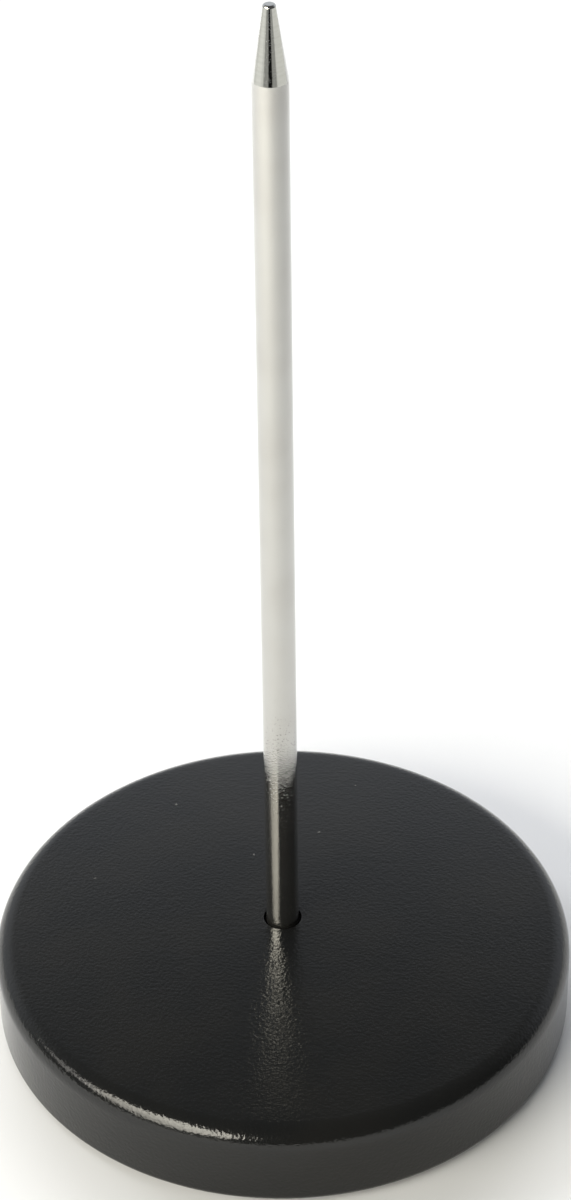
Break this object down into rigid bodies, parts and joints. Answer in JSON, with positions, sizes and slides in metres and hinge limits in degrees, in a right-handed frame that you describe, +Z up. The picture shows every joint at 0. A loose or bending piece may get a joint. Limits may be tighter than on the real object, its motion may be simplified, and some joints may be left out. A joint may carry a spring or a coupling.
{
  "type": "bill spike",
  "caption": "Upright blunt-pointed metal spike on a weighted round black base, for impaling and keeping paper slips on a desk or counter.",
  "frame": {"origin": "middle of the rubber foot's underside, on the table and on the spike's axis", "axes": "+Z up along the spike towards its tip; the outside is round, so X and Y may point any way"},
  "size_m": [0.08, 0.08, 0.155],
  "materials": {
    "nickel_plate": "satin nickel plate on the wire, polished on the point",
    "black_coat": "semi-gloss black powder coat with fine orange peel",
    "cast_iron": "as cast",
    "zinc_plate": "bright zinc plate",
    "spring_steel": "oiled dark spring steel",
    "foot_rubber": "matt die-cut sheet rubber"
  },
  "bodies": {
    "root": {"spike": "nickel_plate", "base_cover": "black_coat", "ballast_disc": "cast_iron", "upper_nut": "zinc_plate", "plain_washer": "zinc_plate", "lock_washer": "spring_steel", "lower_nut": "zinc_plate", "rubber_foot": "foot_rubber"}
  },
  "joints": []
}
